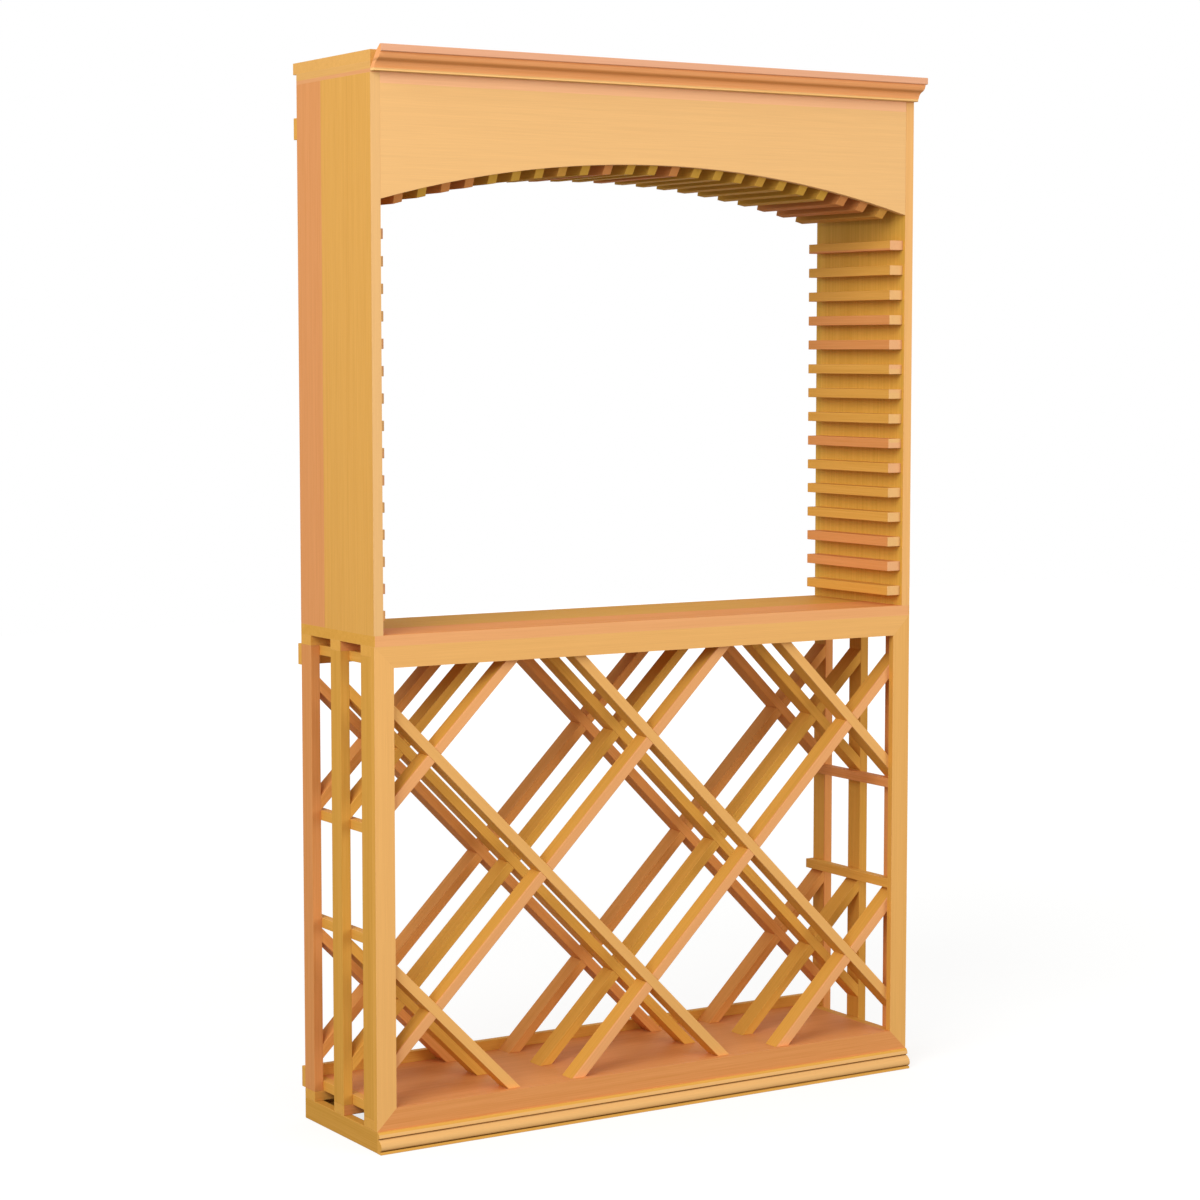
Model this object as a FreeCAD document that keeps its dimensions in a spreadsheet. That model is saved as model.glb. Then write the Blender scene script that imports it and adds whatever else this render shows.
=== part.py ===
import FreeCAD, Part
import math
import os
import re

from FreeCAD import Placement, Rotation, Vector

os.makedirs("parts", exist_ok=True)
doc = FreeCAD.newDocument("tasting_station")
sheet = doc.addObject("Spreadsheet::Sheet", "sizes")

# Sizes in millimetres. X runs left to right, Y front to back, Z up from the floor.
sizes = [
    ("station_width", "1160"),
    ("panel_depth", "283"),
    # Base frame: runners on the floor, flat cross strips, ladders, upper strips, counter
    ("runner_height", "38"),
    ("runner_thick", "18"),
    ("strip_thick", "18"),
    ("layer_depth", "38"),
    ("stile_thick", "18"),
    ("stile_length", "813"),
    ("rung_thick", "18"),
    ("rung_height", "18"),
    ("rung_offset", "107.2"),
    ("floor_thick", "18"),
    ("counter_thick", "19"),
    # Face frame and mouldings
    ("frame_thick", "13"),
    ("frame_member_width", "38"),
    ("base_reach", "14.5"),
    ("crown_reach", "42"),
    ("crown_height", "42.5"),
    ("crown_stand", "6"),
    # Lattice of slats on edge, halved over each other
    ("lattice_pitch", "455"),
    ("lattice_thick", "18"),
    ("lattice_least", "150"),
    ("lap_clearance", "0.1"),
    # Rear rails
    ("rail_thick", "13"),
    ("rail_height", "38"),
    ("upper_rail_drop", "76"),
    # Hutch
    ("panel_thick", "18"),
    ("panel_height", "957"),
    ("roof_strip_height", "18"),
    ("roof_thick", "20"),
    ("fascia_height", "230"),
    ("arch_rise", "75"),
    ("former_thick", "18"),
    ("wall_slat_reach", "30"),
    ("wall_slat_height", "18"),
    ("wall_slat_pitch", "47.1"),
    ("wall_slat_start", "20"),
    ("wall_slat_head", "30"),
    ("left_slat_setback", "49"),
    ("right_slat_setback", "7"),
    ("slat_rear_setback", "14"),
    ("ceiling_slat_width", "18"),
    ("ceiling_slat_height", "30"),
    ("ceiling_slat_hang", "16"),
    ("ceiling_slat_pitch", "47.8"),
    ("ceiling_slat_bevel", "11.5"),
    ("slat_seat_clearance", "0.1"),
    # Dowels between the panels, the counter and the roof strips
    ("dowel_radius", "4"),
    ("dowel_length", "38"),
    ("dowel_cover", "2"),
    ("dowel_clearance", "0.1"),
    # How far a cutting body runs past the face that it cuts
    ("overrun", "5"),
]

# Places and sizes that follow from the ones above
derived = [
    ("half_width", "station_width / 2"),
    ("total_depth", "crown_reach + panel_depth + rail_thick"),
    ("front_y", "crown_reach - total_depth / 2"),
    ("rear_y", "front_y + panel_depth"),
    ("ladder_y", "front_y + frame_thick"),
    ("ladder_depth", "panel_depth - frame_thick"),
    ("middle_y", "ladder_y + (ladder_depth - layer_depth) / 2"),
    ("rear_layer_y", "rear_y - layer_depth"),
    ("stile_z", "runner_height + strip_thick"),
    ("floor_top_z", "stile_z + floor_thick"),
    ("stile_top_z", "stile_z + stile_length"),
    ("counter_z", "stile_top_z + strip_thick"),
    ("counter_top_z", "counter_z + counter_thick"),
    ("panel_top_z", "counter_top_z + panel_height"),
    ("roof_z", "panel_top_z + roof_strip_height"),
    ("roof_top_z", "roof_z + roof_thick"),
    ("crown_z", "roof_top_z + crown_stand - crown_height"),
    ("ladder_inner_x", "half_width - stile_thick"),
    ("rung_inner_x", "ladder_inner_x - rung_thick"),
    ("panel_inner_x", "half_width - panel_thick"),
    ("lattice_z", "stile_z + stile_length / 2"),
    ("lattice_edge", "lattice_thick * sqrt(2) / 2"),
    ("slat_run", "station_width + stile_length"),
    ("rung_clear_height", "rung_height + 2 * lattice_edge"),
    ("arch_spring_z", "roof_z - fascia_height"),
    ("arch_radius", "(panel_inner_x * panel_inner_x + arch_rise * arch_rise) / (2 * arch_rise)"),
    ("arch_centre_z", "arch_spring_z + arch_rise - arch_radius"),
    ("slat_tuck", "ceiling_slat_height - ceiling_slat_hang"),
    ("former_radius", "arch_radius + slat_tuck + slat_seat_clearance"),
    ("hole_radius", "dowel_radius + dowel_clearance"),
    ("hole_length", "dowel_length + 2 * dowel_clearance"),
]

for row, (name, text) in enumerate(sizes + [(n, "=" + t) for n, t in derived], start=1):
    cell = "A%d" % row
    sheet.set(cell, text)
    sheet.setAlias(cell, name)
doc.recompute()

nodes = {}


def size(name):
    """Read one value of the sheet."""
    return float(sheet.get(name))


def countWallSlats():
    """As many slats as fit between the counter and the springing of the arch."""
    room = size("arch_spring_z") - size("counter_top_z") - size("wall_slat_start")
    room -= size("wall_slat_height") + size("wall_slat_head")
    return int(room / size("wall_slat_pitch")) + 1


def countCeilingSlats():
    """An odd number of slats, one at the middle, as many as fit between the panels."""
    reach = math.asin((size("panel_inner_x") - size("ceiling_slat_width")) / size("former_radius"))
    return 2 * int(reach * size("arch_radius") / size("ceiling_slat_pitch")) + 1


def latticeOffsets():
    """Where the parallel slats of a layer cross its middle height, half a pitch either side of the centre."""
    room = size("ladder_inner_x") + size("lattice_z") - size("floor_top_z") - size("lattice_least")
    pairs = int(room / size("lattice_pitch") + 1 / 2)
    return [(step + 1 / 2) * size("lattice_pitch") for step in range(-pairs, pairs)]


def bind(thing, prop, text):
    """Tie a property to an expression in the sheet's names."""
    thing.setExpression(prop, re.sub(r"[a-z][a-z_]*", lambda m: "sizes." + m.group(0), text))


def keep(label, thing):
    """Name a finished sub-part."""
    thing.Label = label
    nodes[label] = thing
    return thing


def addBox(name, x, y, z):
    """A board: each of x, y, z is a start and a length in the sheet's names."""
    box = doc.addObject("Part::Box", name)
    for prop, axis, (start, length) in zip(("Length", "Width", "Height"), "xyz", (x, y, z)):
        bind(box, prop, length)
        bind(box, "Placement.Base." + axis, start)
    return box


def addCompound(name, things):
    """A group of separate solids."""
    group = doc.addObject("Part::Compound", name)
    group.Links = things
    return group


def addCut(name, base, tool):
    """A base with a tool taken out of it."""
    cut = doc.addObject("Part::Cut", name)
    cut.Base = base
    cut.Tool = tool
    return cut


def addProfile(name, role, edges, length, place):
    """A body padded from an outline on one of its own origin planes."""
    body = doc.addObject("PartDesign::Body", name)
    plane = [f for f in body.Origin.OriginFeatures if f.Role == role][0]
    sketch = body.newObject("Sketcher::SketchObject", name + "_sketch")
    sketch.AttachmentSupport = [(plane, "")]
    sketch.MapMode = "FlatFace"
    for edge in edges:
        sketch.addGeometry(edge, False)
    pad = body.newObject("PartDesign::Pad", name + "_pad")
    pad.Profile = sketch
    bind(pad, "Length", length)
    pad.Reversed = role == "XZ_Plane"
    body.Tip = pad
    body.Placement = Placement(place, Rotation())
    return body


def outline(points):
    """Closed outline of straight edges."""
    flat = [Vector(a, b, 0) for a, b in points]
    return [Part.LineSegment(p, q) for p, q in zip(flat, flat[1:] + flat[:1])]


def shapedOutline(shares, reach, height):
    """Closed outline from shares: a pair is a corner, a triple's last point ends an arc."""
    def at(pair):
        return Vector(-pair[0] * reach, pair[1] * height, 0)

    edges = []
    here = at(shares[0])
    for step in shares[1:] + shares[:1]:
        if len(step) == 2:
            there = at(step)
            edges.append(Part.LineSegment(here, there))
        else:
            there = at(step[2:])
            edges.append(Part.Arc(here, at(step[:2]), there))
        here = there
    return edges


layers = (("front", "ladder_y"), ("middle", "middle_y"), ("rear", "rear_layer_y"))
sides = (("left", -1), ("right", 1))
fullDepth = ("front_y", "panel_depth")
ladderSpan = ("ladder_y", "ladder_depth")
wholeWidth = ("-half_width", "station_width")
innerWidth = ("-panel_inner_x", "2 * panel_inner_x")


def sideSpan(sign, inner, outer):
    """A board's X span between two distances from the middle, on one side."""
    start = inner if sign > 0 else "-" + outer
    return (start, outer + " - " + inner)


def makeRunners():
    """Four boards on edge that stand on the floor."""
    height = ("0", "runner_height")
    reach = "half_width"
    for side, sign in sides:
        start = reach + " - runner_thick" if sign > 0 else "-" + reach
        keep(side + "_side_runner", addBox(side + "_runner", (start, "runner_thick"), fullDepth, height))
    between = ("-half_width + runner_thick", "station_width - 2 * runner_thick")
    keep("front_runner", addBox("front_run", between, ("front_y", "runner_thick"), height))
    rear = ("rear_y - runner_thick", "runner_thick")
    keep("rear_runner", addBox("rear_run", between, rear, height))


def makeCrossStrips():
    """Flat strips across the station, under and over the stiles."""
    for level, z in (("lower", "runner_height"), ("upper", "stile_top_z")):
        strips = []
        for layer, y in layers:
            name = "%s_strip_%s" % (level, layer)
            strips.append(addBox(name, wholeWidth, (y, "layer_depth"), (z, "strip_thick")))
        keep(level + "_cross_strips", addCompound(level + "_strips", strips))


rungPlaces = (
    "stile_z",
    "lattice_z - rung_offset",
    "lattice_z + rung_offset - rung_height",
    "stile_top_z - rung_height",
)


def makeLadders():
    """Three stiles on each side, with rungs on their inner faces."""
    for side, sign in sides:
        for layer, y in layers:
            span = sideSpan(sign, "ladder_inner_x", "half_width")
            stile = addBox("%s_%s" % (side, layer), span, (y, "layer_depth"), ("stile_z", "stile_length"))
            keep("%s_%s_stile" % (side, layer), stile)
        rungs = []
        for index, place in enumerate(rungPlaces):
            span = sideSpan(sign, "rung_inner_x", "ladder_inner_x")
            name = "%s_rung_%d" % (side, index)
            rungs.append(addBox(name, span, ladderSpan, (place, "rung_height")))
        keep(side + "_ladder_rungs", addCompound(side + "_rungs", rungs))


def makeFloor():
    """Board that lies on the lower strips between the ladders."""
    span = ("-rung_inner_x", "2 * rung_inner_x")
    keep("floor_board", addBox("floor", span, ladderSpan, ("stile_z", "floor_thick")))


def addDiagonal(name, offset, angle, y, depth, thick):
    """A long board on edge at 45 degrees through a point at the lattice's middle height."""
    bar = doc.addObject("Part::Box", name)
    bind(bar, "Length", "slat_run")
    bind(bar, "Width", depth)
    bind(bar, "Height", thick)
    doc.recompute()
    middle = Placement(Vector(offset, y, size("lattice_z")), Rotation(Vector(0, 1, 0), angle))
    corner = Vector(-bar.Length.Value / 2, 0, -bar.Height.Value / 2)
    bar.Placement = middle.multiply(Placement(corner, Rotation()))
    return bar


def addRungRoom(kind):
    """Room for the rungs, run on past each one to where a slat of that slope would end behind it."""
    rooms = []
    upSign = -1 if kind == "falling" else 1
    for side, sign in sides:
        for index, place in enumerate(rungPlaces):
            start = place if sign == upSign else place + " - 2 * lattice_edge"
            name = "%s_%s_rung_room_%d" % (kind, side, index)
            span = sideSpan(sign, "rung_inner_x", "ladder_inner_x")
            rooms.append(addBox(name, span, ladderSpan, (start, "rung_clear_height")))
    return addCompound(kind + "_rung_room", rooms)


def makeLattice():
    """Three layers of crossing slats; each slat is notched half way through at a crossing."""
    falling, rising = 45, -45
    notchDepth = "layer_depth / 2 + lap_clearance"
    notchWidth = "lattice_thick + 2 * lap_clearance"
    offsets = latticeOffsets()
    rungRooms = {kind: addRungRoom(kind) for kind in ("falling", "rising")}
    for layer, yName in layers:
        span = ("-ladder_inner_x", "2 * ladder_inner_x")
        tall = ("floor_top_z", "stile_top_z - floor_top_z")
        y = size(yName)
        rearHalfY = y + size("layer_depth") / 2 - size("lap_clearance")
        # The falling slats show whole in front, so they are notched from behind
        plans = (
            ("falling", falling, rising, rearHalfY),
            ("rising", rising, falling, y),
        )
        for kind, angle, crossing, notchY in plans:
            notches = []
            for index, offset in enumerate(offsets):
                name = "%s_%s_notch_%d" % (layer, kind, index)
                notches.append(addDiagonal(name, offset, crossing, notchY, notchDepth, notchWidth))
            tool = addCompound("%s_%s_notches" % (layer, kind), notches + [rungRooms[kind]])
            for index, offset in enumerate(offsets):
                name = "%s_%s_slat_%d" % (layer, kind, index + 1)
                bar = addDiagonal(name + "_bar", offset, angle, y, "layer_depth", "lattice_thick")
                trimmed = doc.addObject("Part::Common", name + "_trimmed")
                trimmed.Base = bar
                trimmed.Tool = addBox(name + "_room", span, (yName, "layer_depth"), tall)
                keep(name, addCut(name + "_cut", trimmed, tool))


def makeFaceFrame():
    """Four mitred members on the front of the base."""
    outerX, bottom, top = size("half_width"), size("runner_height"), size("counter_z")
    member = size("frame_member_width")
    innerX, innerBottom, innerTop = outerX - member, bottom + member, top - member
    place = Vector(0, size("front_y"), 0)
    # Outer and inner corners: bottom left, bottom right, top right, top left
    outer = ((-outerX, bottom), (outerX, bottom), (outerX, top), (-outerX, top))
    inner = ((-innerX, innerBottom), (innerX, innerBottom), (innerX, innerTop), (-innerX, innerTop))
    names = ("frame_bottom_rail", "frame_right_stile", "frame_top_rail", "frame_left_stile")
    for index, name in enumerate(names):
        after = (index + 1) % len(names)
        points = (outer[index], outer[after], inner[after], inner[index])
        keep(name, addProfile(name + "_body", "XZ_Plane", outline(points), "frame_thick", place))


def makeBaseMoulding():
    """Bead, quirk, swelling and fillet along the foot of the front."""
    shares = [
        (0.0, 0.0),
        (0.966, 0.0),
        (0.862, 0.115),
        (0.745, 0.135),
        (1.0, 0.33, 0.669, 0.555),
        (0.166, 0.682),
        (0.345, 0.718),
        (0.5, 0.86, 0.207, 1.0),
        (0.0, 1.0),
    ]
    edges = shapedOutline(shares, size("base_reach"), size("runner_height"))
    place = Vector(-size("half_width"), size("front_y"), 0)
    keep("base_moulding", addProfile("base_mould", "YZ_Plane", edges, "station_width", place))


def makeRearRails():
    """Three rails across the back, on the stiles and on the panels' rear edges."""
    places = {
        "lower_rear_rail": "stile_z",
        "middle_rear_rail": "stile_top_z - rail_height",
        "upper_rear_rail": "roof_z - upper_rail_drop - rail_height",
    }
    for name, z in places.items():
        keep(name, addBox(name + "_board", wholeWidth, ("rear_y", "rail_thick"), (z, "rail_height")))


def addPegs(name, radius, length, slack):
    """Upright pegs at the foot and the head of each side panel, one in line with each stile."""
    pegs = []
    for side, sign in sides:
        for layer, y in layers:
            for end in ("foot", "head"):
                peg = doc.addObject("Part::Cylinder", "%s_%s_%s_%s" % (name, side, layer, end))
                bind(peg, "Radius", radius)
                bind(peg, "Height", length)
                # Wood of one cover's thickness is left under the foot and over the head
                z = size("counter_z") + size("dowel_cover")
                if end == "head":
                    z = size("roof_z") - size("dowel_cover") - size("dowel_length")
                x = sign * (size("half_width") - size("panel_thick") / 2)
                peg.Placement.Base = Vector(x, size(y) + size("layer_depth") / 2, z - slack)
                pegs.append(peg)
    return addCompound(name, pegs)


def makeCounterAndPanels():
    """Counter board, side panels and roof strips, drilled for the dowels."""
    holes = addPegs("dowel_holes", "hole_radius", "hole_length", size("dowel_clearance"))
    keep("panel_dowels", addPegs("dowels", "dowel_radius", "dowel_length", 0))
    board = addBox("counter_board", wholeWidth, fullDepth, ("counter_z", "counter_thick"))
    keep("counter_top", addCut("counter", board, holes))
    strips = []
    for side, sign in sides:
        span = sideSpan(sign, "panel_inner_x", "half_width")
        panel = addBox(side + "_panel_board", span, fullDepth, ("counter_top_z", "panel_height"))
        keep(side + "_side_panel", addCut(side + "_panel", panel, holes))
        strips.append(addBox(side + "_roof_strip", span, fullDepth, ("panel_top_z", "roof_strip_height")))
    keep("roof_side_strips", addCut("roof_strips", addCompound("roof_strip_boards", strips), holes))


def makeWallSlats():
    """Level slats on the inner face of each side panel."""
    for side, sign in sides:
        setback = side + "_slat_setback"
        start = "panel_inner_x - wall_slat_reach" if sign > 0 else "-panel_inner_x"
        depth = ("front_y + " + setback, "panel_depth - slat_rear_setback - " + setback)
        slats = []
        for index in range(countWallSlats()):
            z = "counter_top_z + wall_slat_start + %d * wall_slat_pitch" % index
            name = "%s_wall_slat_%d" % (side, index)
            slats.append(addBox(name, (start, "wall_slat_reach"), depth, (z, "wall_slat_height")))
        keep(side + "_wall_slats", addCompound(side + "_slats", slats))


def addArched(name, y, thick, radius):
    """A board between the panels, up to the roof, with its lower edge cut to an arc."""
    tall = ("arch_spring_z - overrun", "roof_z - arch_spring_z + overrun")
    board = addBox(name + "_board", innerWidth, (y, thick), tall)
    drum = doc.addObject("Part::Cylinder", name + "_drum")
    bind(drum, "Radius", radius)
    bind(drum, "Height", thick + " + 2 * overrun")
    drum.Placement.Rotation = Rotation(Vector(1, 0, 0), -90)
    bind(drum, "Placement.Base.y", y + " - overrun")
    bind(drum, "Placement.Base.z", "arch_centre_z")
    return addCut(name + "_arch", board, drum)


def makeArch():
    """Fascia on the front, and the two formers that carry the ceiling slats."""
    keep("arch_fascia", addArched("fascia", "front_y", "frame_thick", "arch_radius"))
    keep("front_arch_former", addArched("front_former", "ladder_y", "former_thick", "former_radius"))
    rearY = "rear_y - former_thick"
    keep("rear_arch_former", addArched("rear_former", rearY, "former_thick", "former_radius"))


def makeCeilingSlats():
    """Slats from front to back under the arch, with their lower front corners cut back."""
    boards, bevels = [], []
    turn = math.degrees(size("ceiling_slat_pitch") / size("arch_radius"))
    corner = Vector(-size("ceiling_slat_width") / 2, size("ladder_y"), size("arch_radius"))
    corner.z -= size("ceiling_slat_hang")
    count = countCeilingSlats()
    for index in range(count):
        angle = (index - (count - 1) / 2) * turn
        hub = Placement(Vector(0, 0, size("arch_centre_z")), Rotation(Vector(0, 1, 0), angle))
        board = doc.addObject("Part::Box", "ceiling_board_%d" % index)
        bind(board, "Length", "ceiling_slat_width")
        bind(board, "Width", "ladder_depth")
        bind(board, "Height", "ceiling_slat_height")
        bevel = doc.addObject("Part::Wedge", "ceiling_bevel_%d" % index)
        for low in ("Xmin", "X2min", "Ymin", "Zmin", "Z2min", "Z2max"):
            setattr(bevel, low, 0)
        bind(bevel, "Xmax", "ceiling_slat_width")
        bind(bevel, "X2max", "ceiling_slat_width")
        bind(bevel, "Ymax", "ceiling_slat_bevel")
        bind(bevel, "Zmax", "ceiling_slat_hang")
        for piece in (board, bevel):
            piece.Placement = hub.multiply(Placement(corner, Rotation()))
        boards.append(board)
        bevels.append(bevel)
    boards = addCompound("ceiling_boards", boards)
    bevels = addCompound("ceiling_bevels", bevels)
    keep("ceiling_slats", addCut("ceiling", boards, bevels))


def makeRoof():
    """Board over the panels and strips, out to the back of the rear rails."""
    depth = ("front_y", "panel_depth + rail_thick")
    keep("roof_board", addBox("roof", wholeWidth, depth, ("roof_z", "roof_thick")))


def makeCrown():
    """Sprung crown: fillet, hollow, swelling and a lip, leaning out from the fascia."""
    shares = [
        (0.0, 0.0),
        (0.31, 0.0),
        (0.31, 0.1),
        (0.335, 0.1),
        (0.42, 0.36, 0.74, 0.475),
        (0.81, 0.57, 0.833, 0.7),
        (1.0, 0.715),
        (1.0, 0.97),
        (0.97, 1.0),
        (0.83, 1.0),
        (0.56, 0.8),
        (0.0, 0.12),
    ]
    edges = shapedOutline(shares, size("crown_reach"), size("crown_height"))
    place = Vector(-size("half_width"), size("front_y"), size("crown_z"))
    keep("crown_moulding", addProfile("crown", "YZ_Plane", edges, "station_width", place))


makeRunners()
makeCrossStrips()
makeLadders()
makeFloor()
makeLattice()
makeFaceFrame()
makeBaseMoulding()
makeRearRails()
makeCounterAndPanels()
makeWallSlats()
makeArch()
makeCeilingSlats()
makeRoof()
makeCrown()
doc.recompute()

for thing in doc.Objects:
    if "Invalid" in thing.State or "Error" in thing.State:
        raise RuntimeError("object did not compute: " + thing.Name)
for label, thing in nodes.items():
    if thing.Shape.isNull() or not thing.Shape.isValid():
        raise RuntimeError("shape is not valid: " + label)
    thing.Shape.exportStep("parts/%s.step" % label)
    box = thing.Shape.BoundBox
    print("%-28s %2d solids  x %8.1f %8.1f  y %8.1f %8.1f  z %8.1f %8.1f" % (
        label, len(thing.Shape.Solids), box.XMin, box.XMax, box.YMin, box.YMax, box.ZMin, box.ZMax))
print(len(nodes), "nodes")
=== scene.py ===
from math import atan2, cos, hypot, pi, radians, sin

import bmesh
import bpy
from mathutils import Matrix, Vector


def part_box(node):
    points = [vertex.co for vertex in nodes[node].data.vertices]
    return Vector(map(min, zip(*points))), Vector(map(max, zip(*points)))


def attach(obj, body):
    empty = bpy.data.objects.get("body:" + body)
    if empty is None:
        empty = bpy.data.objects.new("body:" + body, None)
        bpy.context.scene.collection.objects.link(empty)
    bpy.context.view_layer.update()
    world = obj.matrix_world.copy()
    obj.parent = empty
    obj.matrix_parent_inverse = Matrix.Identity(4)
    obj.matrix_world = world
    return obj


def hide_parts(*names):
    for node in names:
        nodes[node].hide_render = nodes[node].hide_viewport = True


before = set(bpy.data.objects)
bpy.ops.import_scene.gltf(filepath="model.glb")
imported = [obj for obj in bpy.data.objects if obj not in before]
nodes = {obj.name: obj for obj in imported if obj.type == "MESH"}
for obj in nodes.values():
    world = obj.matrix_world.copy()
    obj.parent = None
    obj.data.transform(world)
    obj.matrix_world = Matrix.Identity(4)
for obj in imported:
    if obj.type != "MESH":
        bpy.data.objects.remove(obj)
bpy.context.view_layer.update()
mmPerM = 1000
print("frame loaded:", len(nodes), "nodes")


def hexToLinear(text):
    values = [int(text[i:i + 2], 16) / 255 for i in (1, 3, 5)]
    return [v / 12.92 if v <= 0.04045 else ((v + 0.055) / 1.055) ** 2.4 for v in values] + [1.0]


def addNode(tree, kind, inputs=None, **settings):
    node = tree.nodes.new(kind)
    for key, value in settings.items():
        setattr(node, key, value)
    for key, value in (inputs or {}).items():
        if isinstance(value, bpy.types.NodeSocket):
            tree.links.new(value, node.inputs[key])
        else:
            node.inputs[key].default_value = value
    return node


# A Mix node's colour sockets go by number, because its sockets for other kinds of value share their names
mixShare, mixFirst, mixSecond, mixResult = 0, 6, 7, 2

# Clear-lacquered softwood, planed and sanded: fine straight streaks, golden sapwood, reddish heartwood.
# Each tone is a pair, early wood and late wood
woodTones = {
    "sap": ("#E8AD52", "#D5993D"),
    "heart": ("#E79E5F", "#D58A47"),
    "honey": ("#E6B450", "#D3A03C"),     # yellower shaded copy of sapwood, painted shade colour for the right panel and the ceiling slats
    "rose": ("#F4A763", "#E2924A"),      # the counter's front half, from a rosier board
    "blush": ("#F3A972", "#E19458"),     # the fascia's top line
    "crown": ("#FFB579", "#EF9F5B"),     # the crown, rosy, and brightened as painted light against the shade under its lip
    "fillet": ("#FFD08A", "#F3BE72"),    # the crown's foot fillet, lightened as a painted highlight
    "mould": ("#EBB772", "#DFAC6B"),     # the base moulding's front, paler than its golden top and foot as painted sheen
}

# Painted sheen: paler shades mixed into front edges, ends and front-facing boards, for the light they
# catch
paleShades = {
    "edge": "#F6D0A4",
    "front": "#FFC68C",                  # warmer painted sheen for the frame, lattice and right panel
    "lip": "#CAA192",                    # painted sheen on the crown's lip, a little greyer than the rest of it
}

# Specular of the lacquer, by how thick it lies
coats = {
    "thin": 0.02,                        # the counter, lattice, stiles, runners and ceiling
    "usual": 0.10,
    "full": 0.25,                        # the hutch's left panel, fascia and roof
}

woodFinish = {
    "streakMm": (140, 1.2),              # length and width of fine streaks, coarser than real ones to show
    "ringMm": (1300, 9),                 # slow colour change across the growth rings
    "fibreMm": (22, 0.7),                # short pores that only the bump and gloss take
    "detail": {"streak": 3, "ring": 2, "fibre": 2},
    "noise": {"Scale": 1.0, "Roughness": 0.6, "Distortion": 0.2},
    "noiseMiddle": 0.5,
    "seedSteps": (7.3, 3.1, 5.7),        # how far apart two seeds lie in the noise
    "ringWeight": 0.45,                  # of the rings beside the streaks, in the colour
    "fibreWeight": 0.6,                  # of the fibres beside the streaks, in the relief
    "wobbleMm": 2.0,                     # waver of the line between two tones
    "rampMarginMm": 50,                  # room on a ramp before its first step and after its last
    "lightness": (0.97, 1.03),           # from the darkest board to the lightest
    "wearShade": "#EDC48E",
    "wearMm": 1.2,                       # rubbed width along the eased edges
    "wearBend": (0.99, 0.75),            # rounded against flat normals, from no wear to full wear
    "wearShare": 0.22,
    "wearSamples": 4,
    "paintedShade": "#9A6524",              # painted shade in a moulding's quirks, bends and underside
    "bumpMm": 0.10,
    "bumpStrength": 0.35,
    "roughness": (0.52, 0.66),
    "fibreRange": (0.3, 0.7),            # of the fibre noise, over which the roughness changes
    "lacquerIor": 1.5,
}

# Where a board's tones change: starts of steps in mm, each with a share
sapwood, heartwood = [(0, 0.0)], [(0, 1.0)]
toneOrSheenDepth = {"frontMm": 1.2, "endMm": 1.5, "mouldingEndMm": 0.5}    # depth of an edge's or end's own tone or painted sheen
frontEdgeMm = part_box("counter_top")[0].y * mmPerM + toneOrSheenDepth["frontMm"]    # frame and panels are flush
sheenAllOverMm = 200                       # a y behind the station, for boards with painted sheen all over

# What a board is unless its own dictionary says otherwise
plainBoard = {
    "grain": "x",
    "seed": 0,
    "kinds": ("sap", "heart"),           # its first and its second tone
    "tones": sapwood,                    # share of the second tone, in steps along toneAxis
    "toneAxis": "Z",
    "endMm": None,                       # beyond this |x| it has its first tone alone
    "paleMm": None,                      # in front of this y it gets painted sheen
    "paleTones": None,                   # share of the second tone where the painted sheen lies, if that differs
    "paleShade": paleShades["edge"],
    "paleShare": 0.34,
    "paintedShadeTones": None,                   # share of painted shade, in steps along toneAxis
    "value": 1.0,                        # lightness beside the other boards
    "grainRange": (0.42, 1.03),          # of streaks and rings, late to early wood; narrower is stronger
    "specular": coats["usual"],
}

# Turns that lay a board's grain along the texture's X
grainTurn = {
    "x": (0, 0, 0),
    "y": (0, 0, radians(-90)),
    "z": (0, radians(90), 0),
    "rising": (0, radians(45), 0),
    "falling": (0, radians(-45), 0),
}


def grainNoise(tree, turned, pattern, seed):
    long, wide = (mmPerM / size for size in woodFinish[pattern + "Mm"])
    shift = [seed * step for step in woodFinish["seedSteps"]]
    scaled = addNode(tree, "ShaderNodeMapping", {"Vector": turned, "Scale": (long, wide, wide),
                                                 "Location": shift})
    noise = addNode(tree, "ShaderNodeTexNoise", {"Vector": scaled.outputs["Vector"],
                                                 "Detail": woodFinish["detail"][pattern],
                                                 **woodFinish["noise"]})
    return noise.outputs["Fac"]


def stepShare(tree, alongMm, steps):
    low = steps[0][0] - woodFinish["rampMarginMm"]
    high = steps[-1][0] + woodFinish["rampMarginMm"]
    along = addNode(tree, "ShaderNodeMapRange", {"Value": alongMm, "From Min": low, "From Max": high})
    ramp = addNode(tree, "ShaderNodeValToRGB", {"Fac": along.outputs["Result"]})
    ramp.color_ramp.interpolation = "CONSTANT"
    stops = ramp.color_ramp.elements
    stops.remove(stops[1])               # a new ramp has two
    for index, (start, share) in enumerate(steps):
        stop = stops.new((start - low) / (high - low)) if index else stops[0]
        stop.color = (share, share, share, 1)
    return ramp.outputs["Color"]
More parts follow.
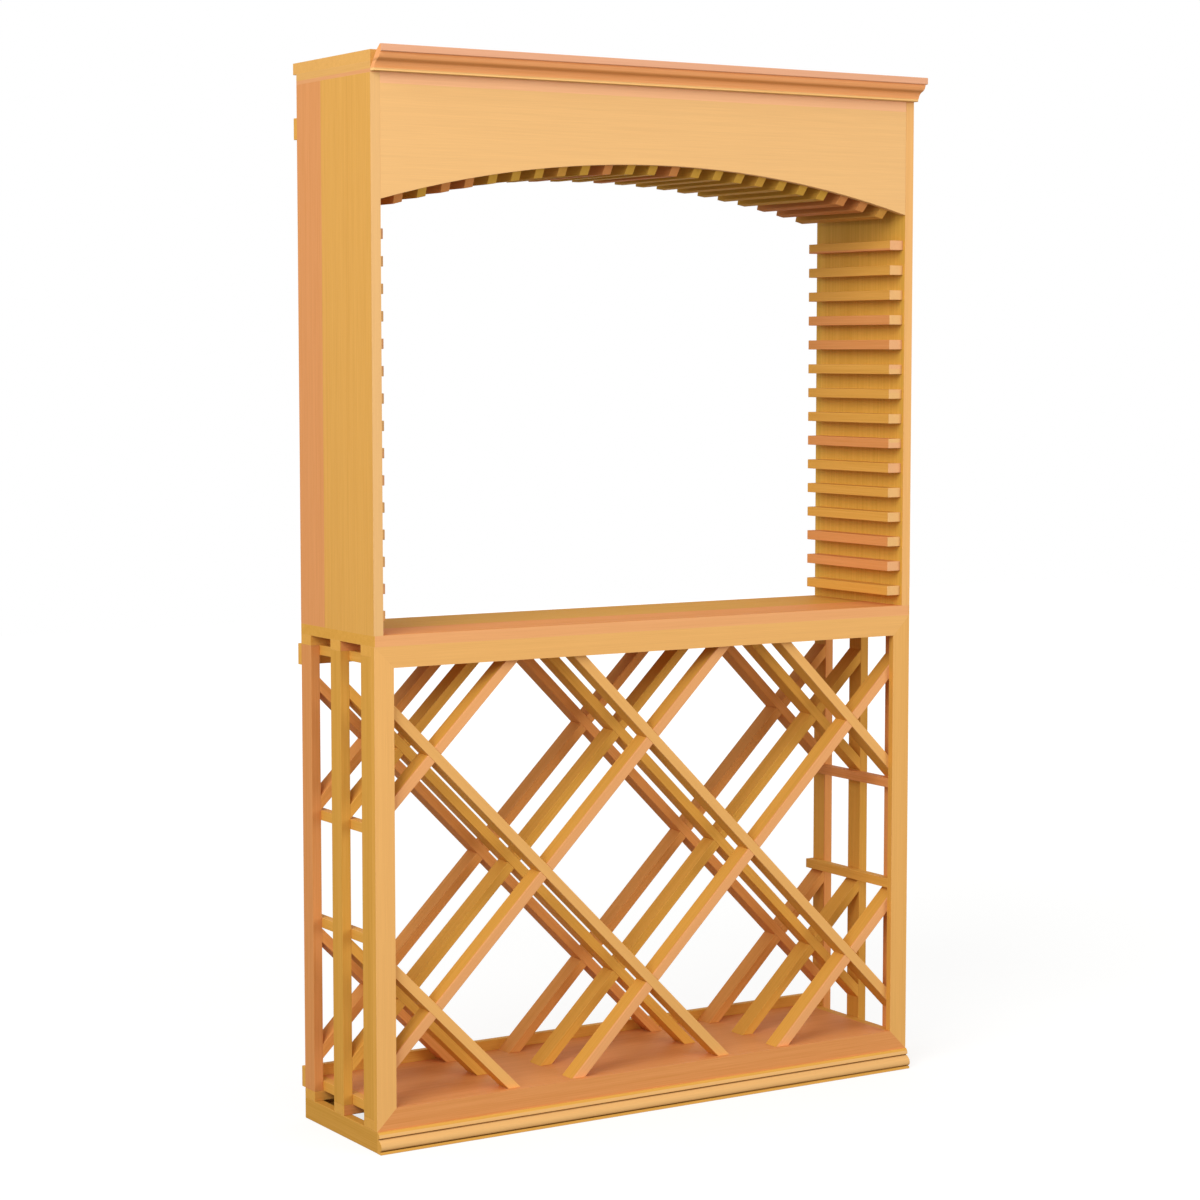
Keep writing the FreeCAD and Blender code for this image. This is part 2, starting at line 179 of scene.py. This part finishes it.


# Where the second tone, the painted sheen in front and the painted shade lie on a board
def toneShares(tree, board, place, ring):
    split = addNode(tree, "ShaderNodeSeparateXYZ", {"Vector": place})
    wobble = addNode(tree, "ShaderNodeMath", {0: ring, 1: woodFinish["noiseMiddle"]},
                     operation="SUBTRACT")
    inMm = addNode(tree, "ShaderNodeMath", {0: split.outputs[board["toneAxis"]], 1: mmPerM},
                   operation="MULTIPLY")
    moved = addNode(tree, "ShaderNodeMath", {0: wobble.outputs[0], 1: woodFinish["wobbleMm"],
                                             2: inMm.outputs[0]}, operation="MULTIPLY_ADD")
    shares = {}
    for part in ("tones", "paleTones", "paintedShadeTones"):
        if board[part]:
            shares[part] = stepShare(tree, moved.outputs[0], board[part])
    if board["paleMm"]:
        front = addNode(tree, "ShaderNodeMath", {0: split.outputs["Y"], 1: board["paleMm"] / mmPerM},
                        operation="LESS_THAN")
        shares["pale"] = front.outputs[0]
    if board["paleTones"]:
        both = addNode(tree, "ShaderNodeMix", {mixShare: shares["pale"], mixFirst: shares["tones"],
                                               mixSecond: shares.pop("paleTones")}, data_type="RGBA")
        shares["tones"] = both.outputs[mixResult]
    if board["endMm"]:
        across = addNode(tree, "ShaderNodeMath", {0: split.outputs["X"]}, operation="ABSOLUTE")
        inside = addNode(tree, "ShaderNodeMath", {0: across.outputs[0], 1: board["endMm"] / mmPerM},
                         operation="LESS_THAN")
        for part in list(shares):
            kept = addNode(tree, "ShaderNodeMath", {0: shares[part], 1: inside.outputs[0]},
                           operation="MULTIPLY")
            shares[part] = kept.outputs[0]
    return shares


# Early and late wood of the two tones, mixed by rings and streaks, and the painted sheen in front
def boardColour(tree, board, shares, grain):
    grainMix = addNode(tree, "ShaderNodeMath", {0: grain["ring"], 1: woodFinish["ringWeight"],
                                                2: grain["streak"]}, operation="MULTIPLY_ADD")
    contrast = addNode(tree, "ShaderNodeMapRange", {"Value": grainMix.outputs[0],
                                                    "From Min": board["grainRange"][0],
                                                    "From Max": board["grainRange"][1]})
    tones = []
    for kind in board["kinds"]:
        early, late = (hexToLinear(shade) for shade in woodTones[kind])
        pair = addNode(tree, "ShaderNodeMix", {mixShare: contrast.outputs["Result"], mixFirst: late,
                                               mixSecond: early}, data_type="RGBA")
        tones.append(pair.outputs[mixResult])
    wood = addNode(tree, "ShaderNodeMix", {mixShare: shares["tones"], mixFirst: tones[0],
                                           mixSecond: tones[1]}, data_type="RGBA")
    # painted sheen: a paler shade mixed into the front
    if "pale" in shares:
        sheenAmount = addNode(tree, "ShaderNodeMath", {0: shares["pale"], 1: board["paleShare"]},
                           operation="MULTIPLY")
        wood = addNode(tree, "ShaderNodeMix", {mixShare: sheenAmount.outputs[0],
                                               mixFirst: wood.outputs[mixResult],
                                               mixSecond: hexToLinear(board["paleShade"])},
                       data_type="RGBA")
    return wood.outputs[mixResult]


# Each board a little lighter or darker than the next, paler on rubbed edges, darker where shade is painted
# in
def wornAndShadedColour(tree, board, shares, wood):
    chance = addNode(tree, "ShaderNodeObjectInfo").outputs["Random"]
    low, high = (share * board["value"] for share in woodFinish["lightness"])
    lightness = addNode(tree, "ShaderNodeMapRange", {"Value": chance, "To Min": low, "To Max": high})
    shaded = addNode(tree, "ShaderNodeHueSaturation", {"Color": wood,
                                                       "Value": lightness.outputs["Result"]})
    bevel = addNode(tree, "ShaderNodeBevel", {"Radius": woodFinish["wearMm"] / mmPerM},
                    samples=woodFinish["wearSamples"])
    normal = addNode(tree, "ShaderNodeNewGeometry").outputs["Normal"]
    bend = addNode(tree, "ShaderNodeVectorMath", {0: bevel.outputs["Normal"], 1: normal},
                   operation="DOT_PRODUCT")
    worn = addNode(tree, "ShaderNodeMapRange", {"Value": bend.outputs["Value"],
                                                "From Min": woodFinish["wearBend"][0],
                                                "From Max": woodFinish["wearBend"][1],
                                                "To Min": 0.0, "To Max": woodFinish["wearShare"]})
    colour = addNode(tree, "ShaderNodeMix", {mixShare: worn.outputs["Result"],
                                             mixFirst: shaded.outputs["Color"],
                                             mixSecond: hexToLinear(woodFinish["wearShade"])},
                     data_type="RGBA")
    # painted shade mixed in along the moulding's quirks, bends and underside
    if "paintedShadeTones" in shares:
        colour = addNode(tree, "ShaderNodeMix", {mixShare: shares["paintedShadeTones"],
                                                 mixFirst: colour.outputs[mixResult],
                                                 mixSecond: hexToLinear(woodFinish["paintedShade"])},
                         data_type="RGBA")
    return colour.outputs[mixResult]


def makeWood(name, **changes):
    board = {**plainBoard, **changes}
    material = bpy.data.materials.new(name)
    material.use_nodes = True
    tree = material.node_tree
    tree.nodes.clear()
    place = addNode(tree, "ShaderNodeTexCoord").outputs["Object"]
    turned = addNode(tree, "ShaderNodeMapping", {"Vector": place, "Rotation": grainTurn[board["grain"]]})
    grain = {}
    for index, pattern in enumerate(("streak", "ring", "fibre")):
        grain[pattern] = grainNoise(tree, turned.outputs["Vector"], pattern, board["seed"] + index)
    shares = toneShares(tree, board, place, grain["ring"])
    colour = wornAndShadedColour(tree, board, shares, boardColour(tree, board, shares, grain))

    # satin lacquer that follows the pores and streaks
    gloss = addNode(tree, "ShaderNodeMapRange", {"Value": grain["fibre"],
                                                 "From Min": woodFinish["fibreRange"][0],
                                                 "From Max": woodFinish["fibreRange"][1],
                                                 "To Min": woodFinish["roughness"][0],
                                                 "To Max": woodFinish["roughness"][1]})
    relief = addNode(tree, "ShaderNodeMath", {0: grain["fibre"], 1: woodFinish["fibreWeight"],
                                              2: grain["streak"]}, operation="MULTIPLY_ADD")
    bump = addNode(tree, "ShaderNodeBump", {"Height": relief.outputs[0],
                                            "Strength": woodFinish["bumpStrength"],
                                            "Distance": woodFinish["bumpMm"] / mmPerM})
    shader = addNode(tree, "ShaderNodeBsdfPrincipled", {
        "Base Color": colour, "Roughness": gloss.outputs["Result"], "Normal": bump.outputs["Normal"],
        "IOR": woodFinish["lacquerIor"], "Specular IOR Level": board["specular"]})
    addNode(tree, "ShaderNodeOutputMaterial", {"Surface": shader.outputs["BSDF"]})
    return material


def evenSteps(shares, firstMm, pitchMm):
    return [(firstMm + index * pitchMm, share) for index, share in enumerate(shares)]


# Boards of one tone; stiles are a little darker, runners darker still as painted shade near the floor,
# beech dowels a little redder than sapwood
oneToneBoards = {
    "sapAlongX": {"name": "lacquered_sapwood_along_x", "seed": 1},
    "sapAlongY": {"name": "lacquered_sapwood_along_y", "seed": 2, "grain": "y"},
    "heartAlongX": {"name": "lacquered_heartwood_along_x", "seed": 4, "tones": heartwood},
    "heartAlongZ": {"name": "lacquered_heartwood_along_z", "seed": 5, "grain": "z", "tones": heartwood,
                    "value": 0.95},
    "stiles": {"name": "lacquered_ladder_stiles", "seed": 23, "grain": "z", "value": 0.94,
               "specular": coats["thin"]},
    "runners": {"name": "lacquered_side_runners", "seed": 24, "grain": "y", "value": 0.86,
                "specular": coats["thin"]},
    "dowel": {"name": "planed_beech_dowel", "seed": 22, "grain": "z", "tones": [(0, 0.15)]},
}
materials = {key: makeWood(**board) for key, board in oneToneBoards.items()}
print("plain board finishes made")

# The front frame: painted sheen in front, less of it on the right; the bottom rail is heartwood and has
# none
frontFrame = {
    "Rail": {"name": "lacquered_frame_rail", "paleShare": 0.35},
    "Left": {"name": "lacquered_frame_left", "grain": "z", "paleShare": 0.35},
    "Right": {"name": "lacquered_frame_right", "grain": "z", "paleShare": 0.245},
    "Bottom": {"name": "lacquered_frame_bottom", "tones": heartwood, "paleShare": 0.0},
}
for part, board in frontFrame.items():
    materials["frame" + part] = makeWood(**board, seed=18, paleMm=frontEdgeMm,
                                         paleShade=paleShades["front"])

# The right ladder: a heartwood upper rung, and a rear stile with a thin heartwood front
rightRungs = {"seed": 19, "grain": "y", "tones": [(0, 0.0), (460, 1.0)]}
materials["rightRungs"] = makeWood("lacquered_right_rungs", **rightRungs)
rearStile = {"frontMm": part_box("right_rear_stile")[0].y * mmPerM, "skinMm": (-5, 2), "skinShare": 0.9}
skinStart, skinEnd = (rearStile["frontMm"] + depth for depth in rearStile["skinMm"])
materials["rightRearStile"] = makeWood("lacquered_right_rear_stile", seed=20, grain="z", toneAxis="Y",
                                       tones=[(skinStart, rearStile["skinShare"]), (skinEnd, 0.0)])

# The hutch's panels: painted sheen on their front edges; the left one has a heartwood strip at the back,
# and the right one has stronger streaks and the yellower shaded tone, painted shade colour for the hutch's
# inside
sidePanels = {
    "left": {"tones": [(-127, 0.0), (60, 1.0)], "paleTones": sapwood, "specular": coats["full"]},
    "right": {"kinds": ("honey", "heart"), "paleTones": [(0, 0.4)], "paleShade": paleShades["front"],
              "paleShare": 0.38, "grainRange": (0.52, 0.93)},
}
for side, board in sidePanels.items():
    materials[side + "Panel"] = makeWood("lacquered_%s_panel_board" % side, **board, seed=7, grain="z",
                                         toneAxis="Y", paleMm=frontEdgeMm)

# The counter: rosier along its front half, sapwood at the back and at the sawn ends, and painted sheen on
# its front edge
counterBoard = {
    "seed": 8, "kinds": ("sap", "rose"), "tones": [(-127, 1.0), (-12, 0.0)], "toneAxis": "Y",
    "endMm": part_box("counter_top")[1].x * mmPerM - toneOrSheenDepth["endMm"],
    "paleMm": frontEdgeMm, "paleShare": 0.24, "value": 0.96, "specular": coats["thin"],
}
materials["counter"] = makeWood("lacquered_counter_board", **counterBoard)

# The fascia: painted sheen all over, with a rosier line along its top, under the crown
fasciaBoard = {"seed": 9, "kinds": ("sap", "blush"), "tones": [(1651, 0.0), (1845, 0.95)],
               "paleMm": sheenAllOverMm, "specular": coats["full"]}
materials["fascia"] = makeWood("lacquered_fascia_board", **fasciaBoard)

# The roof: a little painted sheen all over, with a heartwood line along the bottom of the side strips
roofLine = {"footMm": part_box("roof_side_strips")[0].z * mmPerM, "heightMm": 6}
roofBoards = {
    "roofStrips": {"name": "lacquered_roof_strips", "seed": 17, "grain": "y", "paleShare": 0.12,
                   "tones": [(roofLine["footMm"], 1.0), (roofLine["footMm"] + roofLine["heightMm"], 0.0)]},
    "roofBoard": {"name": "lacquered_roof_board", "seed": 25, "paleShare": 0.08},
}
for key, board in roofBoards.items():
    materials[key] = makeWood(**board, paleMm=sheenAllOverMm, specular=coats["full"])

# Strips under and over the stiles: the middle ones are heartwood, with sapwood ends
crossStrips = {
    "seed": 10, "tones": [(-114, 0.0), (-20, 1.0), (80, 0.2)], "toneAxis": "Y",
    "endMm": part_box("lower_cross_strips")[1].x * mmPerM - toneOrSheenDepth["endMm"],
}
materials["strips"] = makeWood("lacquered_cross_strips", **crossStrips)

# Slats on the panels, from the counter up: the share of heartwood in each, and in the halves of its end.
# Their front ends get painted sheen
wallSlats = {
    "right": [0, 1, 1, 0, 0, 0, 1, 0, 0, 0, 1, 1, 0.1, 0, 0],
    "left": [0, 1, 0, 1, 0, 0, 1, 0, 1, 0, 0, 1, 0, 0, 1],
    "ends": [0, 0, 1, 1, 0, 0, 0, 0, 0, 0, 1, 1, 1, 0, 0, 0, 0, 0.4, 0.1, 0.9, 1, 1, 0.1, 0.1, 0.2, 0.2,
             0.2, 0.2, 1, 1],
    "firstMm": 911.5,
    "firstEndMm": 911.45,                # puts the middle of a slat's height between its two halves
    "pitchMm": 47.1,
    "heightMm": 18,
    "topEdgeMm": 2.6,                    # a line of heartwood along the bottom of the top right slat
}
endTones = evenSteps(wallSlats["ends"], wallSlats["firstEndMm"], wallSlats["pitchMm"] / 2)
for side in ("right", "left"):
    tones = evenSteps(wallSlats[side], wallSlats["firstMm"], wallSlats["pitchMm"])
    low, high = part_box(side + "_wall_slats")
    if side == "right":
        lineTopMm = high.z * mmPerM - wallSlats["heightMm"] + wallSlats["topEdgeMm"]
        topStart, topShare = tones.pop()
        tones += [(topStart, 1.0), (lineTopMm, topShare)]
    materials[side + "Slats"] = makeWood("lacquered_%s_wall_slats" % side, seed=11, grain="y", tones=tones,
                                         paleMm=low.y * mmPerM + toneOrSheenDepth["endMm"], paleTones=endTones)

# Slats under the arch, from the left: a share of heartwood for each. The yellower shaded tone and the
# lower value are painted shade, for the dark under the arch
ceilingSlats = {
    "shares": [1, 0, 1, 1, 0, 0, 0, 0.3, 0, 1, 0, 0, 1, 0, 0, 0, 0.1, 0, 0, 0, 1, 1, 0.4],
    "firstMm": -555.0,
    "pitchMm": 48.3,
    "wood": {"seed": 12, "grain": "y", "kinds": ("honey", "heart"), "value": 0.92,
             "specular": coats["thin"]},
}
tones = evenSteps(ceilingSlats["shares"], ceilingSlats["firstMm"], ceilingSlats["pitchMm"])
materials["ceilingSlats"] = makeWood("lacquered_ceiling_slats", **ceilingSlats["wood"], tones=tones,
                                     toneAxis="X")

# Lattice: heartwood in the rear layer and on the front edges of the front rising slats; painted sheen on
# the front edges
lattice = {
    "rising": {"seed": 19, "tones": [(-130, 1.0), (-111, 0.0), (100, 0.75)]},
    "falling": {"seed": 20, "tones": [(-130, 0.0), (100, 0.85)]},
    "fronts": {"paleMm": -111, "paleShade": paleShades["front"], "paleShare": 0.35},
}
for slope in ("rising", "falling"):
    materials[slope] = makeWood("lacquered_%s_slats" % slope, **lattice[slope], **lattice["fronts"],
                                grain=slope, toneAxis="Y", specular=coats["thin"])

# The crown: its foot fillet lightened as a painted highlight, painted shade under it and in its bend,
# painted sheen on its lip, and its body brightened as painted light against the shade under the lip
crownBoard = {
    "seed": 21, "kinds": ("fillet", "crown"), "tones": [(1850, 0.0), (1868.9, 1.0)],
    "paintedShadeTones": [(1850, 0.5), (1865.4, 0.0), (1879.1, 0.2), (1880.5, 0.4), (1883.7, 0.2), (1885.1, 0.0)],
    "paleMm": -165, "paleShade": paleShades["lip"], "paleShare": 0.5, "value": 1.04,
}
materials["crown"] = makeWood("lacquered_crown_moulding", **crownBoard)

# The base moulding: a golden top, foot and sawn ends, a paler front as painted sheen, and painted shade in
# dark lines along its quirks
baseBoard = {
    "seed": 6, "kinds": ("sap", "mould"), "tones": [(0, 0.0), (5.0, 1.0), (33.4, 0.0)],
    "paintedShadeTones": [(0, 0.0), (4.9, 1.0), (6.6, 0.4), (8.2, 0.1), (9.6, 0.0), (24.6, 0.85), (27.0, 0.0)],
    "endMm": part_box("base_moulding")[1].x * mmPerM - toneOrSheenDepth["mouldingEndMm"],
}
materials["base"] = makeWood("lacquered_base_moulding", **baseBoard)
print("all finishes made:", len(materials))


# Which nodes take a finish, by the starts of their names
finishes = {
    "leftPanel": ("left_side_panel",),
    "rightPanel": ("right_side_panel",),
    "leftSlats": ("left_wall",),
    "rightSlats": ("right_wall",),
    "ceilingSlats": ("ceiling",),
    "fascia": ("arch_fascia",),
    "crown": ("crown",),
    "roofStrips": ("roof_side",),
    "roofBoard": ("roof_board",),
    "dowel": ("panel_dowels",),
    "counter": ("counter_top",),
    "frameRail": ("frame_top",),
    "frameLeft": ("frame_left",),
    "frameRight": ("frame_right",),
    "frameBottom": ("frame_bottom",),
    "base": ("base_moulding",),
    "runners": ("left_side_runner", "right_side_runner"),
    "strips": ("lower_cross", "upper_cross"),
    "sapAlongY": ("left_ladder",),
    "rightRungs": ("right_ladder",),
    "rightRearStile": ("right_rear_stile",),
    "heartAlongZ": ("left_rear_stile", "right_front_stile"),
    "heartAlongX": ("floor_board",),
}


def finishOf(name):
    for key, starts in finishes.items():
        if name.startswith(starts):
            return key
    for slope in ("rising", "falling"):
        if slope in name:
            return slope
    return "stiles" if "stile" in name else "sapAlongX"


# Sawn boards with their sharp edges taken off, least where boards meet edge to edge
boardEdges = {
    "easeMm": 0.8,
    "closeMm": 0.1,
    "close": ("frame", "roof", "counter", "middle_rear", "upper_cross"),
    "segments": 2,
    "sharpAngle": radians(35),
    "weldMm": 0.02,                      # joins the corners of neighbouring faces first
    "flatAngle": radians(0.6),           # and clears the seams within flat faces
}
for name, node in nodes.items():
    for slot in node.material_slots:
        slot.material = materials[finishOf(name)]
    weld = node.modifiers.new("weld", "WELD")
    weld.merge_threshold = boardEdges["weldMm"] / mmPerM
    flat = node.modifiers.new("flat faces", "DECIMATE")
    flat.decimate_type = "DISSOLVE"
    flat.angle_limit = boardEdges["flatAngle"]
    ease = node.modifiers.new("eased edges", "BEVEL")
    ease.width = boardEdges["closeMm" if name.startswith(boardEdges["close"]) else "easeMm"] / mmPerM
    ease.segments = boardEdges["segments"]
    ease.limit_method = "ANGLE"
    ease.angle_limit = boardEdges["sharpAngle"]
print("boards finished")


def arcPoints(start, via, end, count):
    (ax, ay), (bx, by), (cx, cy) = start, via, end
    aa, bb, cc = (x * x + y * y for x, y in (start, via, end))
    d = 2 * (ax * (by - cy) + bx * (cy - ay) + cx * (ay - by))
    midX = (aa * (by - cy) + bb * (cy - ay) + cc * (ay - by)) / d
    midY = (aa * (cx - bx) + bb * (ax - cx) + cc * (bx - ax)) / d
    radius = hypot(ax - midX, ay - midY)
    first, between, last = (atan2(y - midY, x - midX) for x, y in (start, via, end))
    turn = (last - first) % (2 * pi)
    if (between - first) % (2 * pi) > turn:
        turn -= 2 * pi
    angles = [first + turn * i / count for i in range(1, count + 1)]
    return [(midX + radius * cos(angle), midY + radius * sin(angle)) for angle in angles]


mouldingMesh = {"arcSteps": 14, "sharpAngle": radians(25)}


# A profile's steps are (out, up) corners or (via out, via up, out, up) arcs, in mm from its back foot
def makeMoulding(piece, material):
    low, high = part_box(piece["node"])
    points = [piece["profile"][0]]
    for step in piece["profile"][1:]:
        if len(step) == 2:
            points.append(step)
        else:
            points += arcPoints(points[-1], step[:2], step[2:], mouldingMesh["arcSteps"])
    mesh = bmesh.new()
    ends = []
    for x in (low.x, high.x):
        ends.append([mesh.verts.new((x, high.y - out / mmPerM, low.z + up / mmPerM))
                     for out, up in points])
    for i in range(len(points)):
        j = (i + 1) % len(points)
        mesh.faces.new((ends[0][i], ends[0][j], ends[1][j], ends[1][i]))
    mesh.faces.new(ends[0][::-1])
    mesh.faces.new(ends[1])
    bmesh.ops.recalc_face_normals(mesh, faces=mesh.faces)
    data = bpy.data.meshes.new(piece["name"])
    mesh.to_mesh(data)
    mesh.free()
    data.shade_smooth()
    data.set_sharp_from_angle(angle=mouldingMesh["sharpAngle"])
    data.materials.append(material)
    moulding = bpy.data.objects.new(piece["name"], data)
    bpy.context.scene.collection.objects.link(moulding)
    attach(moulding, "root")
    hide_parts(piece["node"])


# Sprung crown: fillet, hollow, swelling and lip
crownPiece = {
    "name": "crown_run", "node": "crown_moulding", "slot": "crown_wood",
    "profile": [(0, 0), (12.4, 0), (13.0, 0.6), (13.0, 4.2), (14.1, 4.3), (17.6, 12.2, 25.0, 17.4),
                (32.2, 22.5, 35.0, 29.7), (41.2, 30.4), (42.0, 31.2), (42.0, 41.6), (41.1, 42.5),
                (34.9, 42.5), (23.5, 34.0), (0, 5.1)],
}
makeMoulding(crownPiece, materials["crown"])

# Base moulding, from the floor: foot fillet, quirk, swelling, quirk and a flat bead
basePiece = {
    "name": "base_run", "node": "base_moulding", "slot": "pale_sapwood",
    "profile": [(0, 0), (12.9, 0), (13.3, 0.4), (12.3, 4.7), (8.6, 5.0), (8.6, 6.0), (11.6, 6.4),
                (13.6, 8.2), (14.2, 14.2, 10.2, 20.6), (5.6, 24.4), (2.2, 25.2), (2.2, 26.4), (5.9, 27.2),
                (7.2, 28.2), (6.0, 33.4), (3.0, 38.0), (0, 38.0)],
}
makeMoulding(basePiece, materials["base"])
print("mouldings made")


# Rays that end in the eye: straight, by reflection or through something clear
def eyeRays(tree):
    paths = addNode(tree, "ShaderNodeLightPath").outputs
    seen = addNode(tree, "ShaderNodeMath", {0: paths["Is Camera Ray"], 1: paths["Is Glossy Ray"]},
                   operation="MAXIMUM")
    seenThrough = addNode(tree, "ShaderNodeMath", {0: seen.outputs[0], 1: paths["Is Transmission Ray"]},
                          operation="MAXIMUM")
    return seenThrough.outputs[0]


white = hexToLinear("#FFFFFF")

# Matt studio floor: it bounces light, keeps a faint shadow and is lifted to near white for the eye alone
floorPlan = {"halfMm": 9000, "dropMm": 0.4, "colour": "#8E8E8C", "glow": (0.78, 0.92), "glowM": (1.5, 6.0)}
half, drop = floorPlan["halfMm"] / mmPerM, floorPlan["dropMm"] / mmPerM
floorCorners = [(x * half, y * half, -drop) for x, y in ((-1, -1), (1, -1), (1, 1), (-1, 1))]
floorMesh = bpy.data.meshes.new("studio_floor")
floorMesh.from_pydata(floorCorners, [], [(0, 1, 2, 3)])
floor = bpy.data.objects.new("studio_floor", floorMesh)
bpy.context.scene.collection.objects.link(floor)
floorPaint = bpy.data.materials.new("matt_white_studio_floor")
floorPaint.use_nodes = True
tree = floorPaint.node_tree
tree.nodes.clear()
place = addNode(tree, "ShaderNodeTexCoord").outputs["Object"]
away = addNode(tree, "ShaderNodeVectorMath", {0: place}, operation="LENGTH")
level = addNode(tree, "ShaderNodeMapRange", {"Value": away.outputs["Value"],
                                             "From Min": floorPlan["glowM"][0],
                                             "From Max": floorPlan["glowM"][1],
                                             "To Min": floorPlan["glow"][0],
                                             "To Max": floorPlan["glow"][1]})
glow = addNode(tree, "ShaderNodeMath", {0: eyeRays(tree), 1: level.outputs["Result"]},
               operation="MULTIPLY")
matt = addNode(tree, "ShaderNodeBsdfDiffuse", {"Color": hexToLinear(floorPlan["colour"])})
lit = addNode(tree, "ShaderNodeEmission", {"Color": white, "Strength": glow.outputs[0]})
both = addNode(tree, "ShaderNodeAddShader", {0: matt.outputs[0], 1: lit.outputs[0]})
addNode(tree, "ShaderNodeOutputMaterial", {"Surface": both.outputs[0]})
floorMesh.materials.append(floorPaint)

# White surround for the eye, softer light for the object
studioLight = {
    "surround": 0.62,
    "seenSurround": 1.0,
    "keyWatts": 225, "keySize": 3.6, "keyAt": (-4.49, -2.81, 3.77),
    "fillWatts": 110, "fillSize": 2.8, "fillAt": (3.2, -4.9, 1.7),
    "aim": (0, 0, 0.95),
}
world = bpy.data.worlds.new("studio")
bpy.context.scene.world = world
world.use_nodes = True
tree = world.node_tree
tree.nodes.clear()
strength = addNode(tree, "ShaderNodeMapRange", {"Value": eyeRays(tree), "To Min": studioLight["surround"],
                                                "To Max": studioLight["seenSurround"]})
surround = addNode(tree, "ShaderNodeBackground", {"Color": white, "Strength": strength.outputs["Result"]})
addNode(tree, "ShaderNodeOutputWorld", {"Surface": surround.outputs[0]})

for lamp in ("key", "fill"):
    data = bpy.data.lights.new(lamp + "_light", "AREA")
    data.energy = studioLight[lamp + "Watts"]
    data.size = studioLight[lamp + "Size"]
    light = bpy.data.objects.new(lamp + "_light", data)
    light.location = studioLight[lamp + "At"]
    aim = Vector(studioLight["aim"]) - light.location
    light.rotation_euler = aim.to_track_quat("-Z", "Y").to_euler()
    bpy.context.scene.collection.objects.link(light)

# The photograph's viewpoint
view = {"at": (-2.8568, -4.5043, 1.3902), "tilt": 85.10, "turn": -31.985, "lensMm": 86.44, "sensorMm": 36}
cameraData = bpy.data.cameras.new("camera")
cameraData.lens = view["lensMm"]
cameraData.sensor_width = view["sensorMm"]
camera = bpy.data.objects.new("camera", cameraData)
camera.location = view["at"]
camera.rotation_euler = (radians(view["tilt"]), 0, radians(view["turn"]))
bpy.context.scene.collection.objects.link(camera)
bpy.context.scene.camera = camera
bpy.context.scene.view_settings.view_transform = "Standard"
print("studio set")
